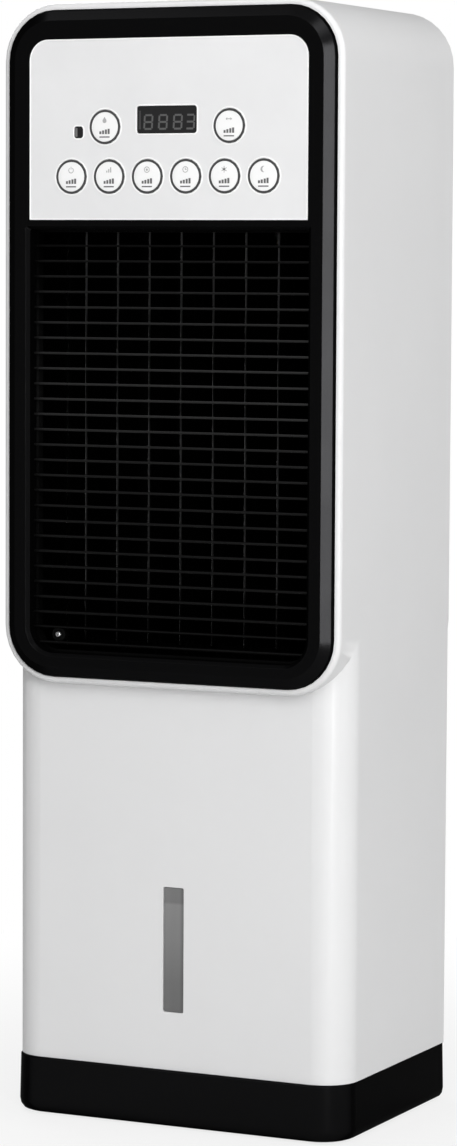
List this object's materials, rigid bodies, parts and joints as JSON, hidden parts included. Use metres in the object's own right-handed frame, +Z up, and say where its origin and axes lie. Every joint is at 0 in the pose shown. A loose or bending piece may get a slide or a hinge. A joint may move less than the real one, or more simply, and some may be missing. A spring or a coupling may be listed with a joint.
{
  "type": "tower evaporative air cooler",
  "caption": "Slim upright air cooler with a proud louvred outlet under a button panel, swing vanes, upright fan, wet pad and a water drawer over a plinth.",
  "frame": {"origin": "bottom centre of the bounding box, on the floor under the plinth", "axes": "+Z up, -Y out of the front grille, +X to the right seen from the front"},
  "size_m": [0.2614, 0.2, 0.7824],
  "materials": {
    "white_shell": "satin white moulded shell",
    "silver_panel": "fine metallic silver",
    "black_gloss": "gloss black",
    "dark_inner": "dark moulded",
    "key_cap": "white cap",
    "dark_lens": "smoked lens",
    "smoke_window": "translucent grey window",
    "circuit_board": "green board",
    "steel": "bright steel",
    "motor_can": "zinc plated can",
    "rubber": "matt black rubber",
    "wet_pad": "corrugated cellulose",
    "filter_net": "fine nylon net",
    "tank_plastic": "milky plastic",
    "grey_plastic": "grey moulded"
  },
  "bodies": {
    "chassis": {"base_plinth": "black_gloss", "rubber_foot_1": "rubber", "rubber_foot_2": "rubber", "rubber_foot_3": "rubber", "rubber_foot_4": "rubber", "housing": "white_shell", "level_window": "smoke_window", "front_bezel": "black_gloss", "control_panel": "silver_panel", "display_window": "dark_lens", "ir_window": "dark_lens", "control_board": "circuit_board", "led_display": "dark_inner", "ir_receiver": "dark_inner", "outlet_grille": "black_gloss", "grille_screw": "steel", "outlet_duct": "dark_inner", "swing_motor": "motor_can", "motor_deck": "grey_plastic", "fan_roof": "grey_plastic", "top_bush": "rubber", "fan_motor": "motor_can", "fan_scroll": "dark_inner", "fan_tongue": "dark_inner", "cooling_pad": "wet_pad", "pad_frame": "grey_plastic", "water_tray": "grey_plastic", "supply_pipe": "grey_plastic", "rear_panel": "white_shell", "rear_screw_1": "steel", "rear_screw_2": "steel", "rear_screw_3": "steel", "rear_screw_4": "steel", "cord_gland": "rubber", "power_board": "circuit_board"},
    "key_power": {"button_power": "key_cap"},
    "key_speed": {"button_speed": "key_cap"},
    "key_mode": {"button_mode": "key_cap"},
    "key_timer": {"button_timer": "key_cap"},
    "key_cool": {"button_cool": "key_cap"},
    "key_night": {"button_night": "key_cap"},
    "key_fresh": {"button_fresh": "key_cap"},
    "key_swing": {"button_swing": "key_cap"},
    "vane_1": {"swing_vane_1": "dark_inner"},
    "vane_2": {"swing_vane_2": "dark_inner"},
    "vane_3": {"swing_vane_3": "dark_inner"},
    "vane_4": {"swing_vane_4": "dark_inner"},
    "vane_5": {"swing_vane_5": "dark_inner"},
    "vane_6": {"swing_vane_6": "dark_inner"},
    "vane_7": {"swing_vane_7": "dark_inner"},
    "link": {"vane_link_bar": "dark_inner"},
    "fan": {"fan_wheel": "dark_inner", "fan_shaft": "steel"},
    "tank": {"water_tank": "tank_plastic", "pump": "dark_inner", "pump_riser": "grey_plastic"},
    "latch": {"tank_latch": "grey_plastic"},
    "door": {"filter_door": "white_shell", "filter_net": "filter_net"}
  },
  "joints": [
    {"name": "press_power", "type": "slide", "parent": "chassis", "child": "key_power", "axis": [0, 1, 0], "range_m": [0, 0.001], "stiffness_N_per_m": 500},
    {"name": "press_speed", "type": "slide", "parent": "chassis", "child": "key_speed", "axis": [0, 1, 0], "range_m": [0, 0.001], "stiffness_N_per_m": 500},
    {"name": "press_mode", "type": "slide", "parent": "chassis", "child": "key_mode", "axis": [0, 1, 0], "range_m": [0, 0.001], "stiffness_N_per_m": 500},
    {"name": "press_timer", "type": "slide", "parent": "chassis", "child": "key_timer", "axis": [0, 1, 0], "range_m": [0, 0.001], "stiffness_N_per_m": 500},
    {"name": "press_cool", "type": "slide", "parent": "chassis", "child": "key_cool", "axis": [0, 1, 0], "range_m": [0, 0.001], "stiffness_N_per_m": 500},
    {"name": "press_night", "type": "slide", "parent": "chassis", "child": "key_night", "axis": [0, 1, 0], "range_m": [0, 0.001], "stiffness_N_per_m": 500},
    {"name": "press_fresh", "type": "slide", "parent": "chassis", "child": "key_fresh", "axis": [0, 1, 0], "range_m": [0, 0.001], "stiffness_N_per_m": 500},
    {"name": "press_swing", "type": "slide", "parent": "chassis", "child": "key_swing", "axis": [0, 1, 0], "range_m": [0, 0.001], "stiffness_N_per_m": 500},
    {"name": "vane_1_turn", "type": "hinge", "parent": "chassis", "child": "vane_1", "pos_m": [-0.0741, -0.0655, 0.4784], "axis": [0, 0, 1], "range_deg": [-35, 35]},
    {"name": "vane_2_turn", "type": "hinge", "parent": "chassis", "child": "vane_2", "pos_m": [-0.0494, -0.0655, 0.4784], "axis": [0, 0, 1], "range_deg": [-35, 35]},
    {"name": "vane_3_turn", "type": "hinge", "parent": "chassis", "child": "vane_3", "pos_m": [-0.0247, -0.0655, 0.4784], "axis": [0, 0, 1], "range_deg": [-35, 35]},
    {"name": "vane_4_turn", "type": "hinge", "parent": "chassis", "child": "vane_4", "pos_m": [0, -0.0655, 0.4784], "axis": [0, 0, 1], "range_deg": [-35, 35]},
    {"name": "vane_5_turn", "type": "hinge", "parent": "chassis", "child": "vane_5", "pos_m": [0.0247, -0.0655, 0.4784], "axis": [0, 0, 1], "range_deg": [-35, 35]},
    {"name": "vane_6_turn", "type": "hinge", "parent": "chassis", "child": "vane_6", "pos_m": [0.0494, -0.0655, 0.4784], "axis": [0, 0, 1], "range_deg": [-35, 35]},
    {"name": "vane_7_turn", "type": "hinge", "parent": "chassis", "child": "vane_7", "pos_m": [0.0741, -0.0655, 0.4784], "axis": [0, 0, 1], "range_deg": [-35, 35]},
    {"name": "link_turn", "type": "hinge", "parent": "vane_4", "child": "link", "pos_m": [0, -0.0575, 0.3373], "axis": [0, 0, 1], "range_deg": [-35, 35]},
    {"name": "fan_spin", "type": "hinge", "parent": "chassis", "child": "fan", "pos_m": [0, 0.005, 0.4624], "axis": [0, 0, 1], "continuous": true},
    {"name": "tank_slide", "type": "slide", "parent": "chassis", "child": "tank", "axis": [0, 1, 0], "range_m": [0, 0.19]},
    {"name": "latch_turn", "type": "hinge", "parent": "chassis", "child": "latch", "pos_m": [0, 0.0973, 0.223], "axis": [0, -1, 0], "range_deg": [-90, 0]},
    {"name": "door_tilt", "type": "hinge", "parent": "chassis", "child": "door", "pos_m": [0, 0.0932, 0.3275], "axis": [-1, 0, 0], "range_deg": [0, 60]}
  ],
  "couplings": [
    {"joint": "vane_1_turn", "follows": "vane_4_turn", "ratio": 1},
    {"joint": "vane_2_turn", "follows": "vane_4_turn", "ratio": 1},
    {"joint": "vane_3_turn", "follows": "vane_4_turn", "ratio": 1},
    {"joint": "vane_5_turn", "follows": "vane_4_turn", "ratio": 1},
    {"joint": "vane_6_turn", "follows": "vane_4_turn", "ratio": 1},
    {"joint": "vane_7_turn", "follows": "vane_4_turn", "ratio": 1},
    {"joint": "link_turn", "follows": "vane_4_turn", "ratio": -1}
  ]
}
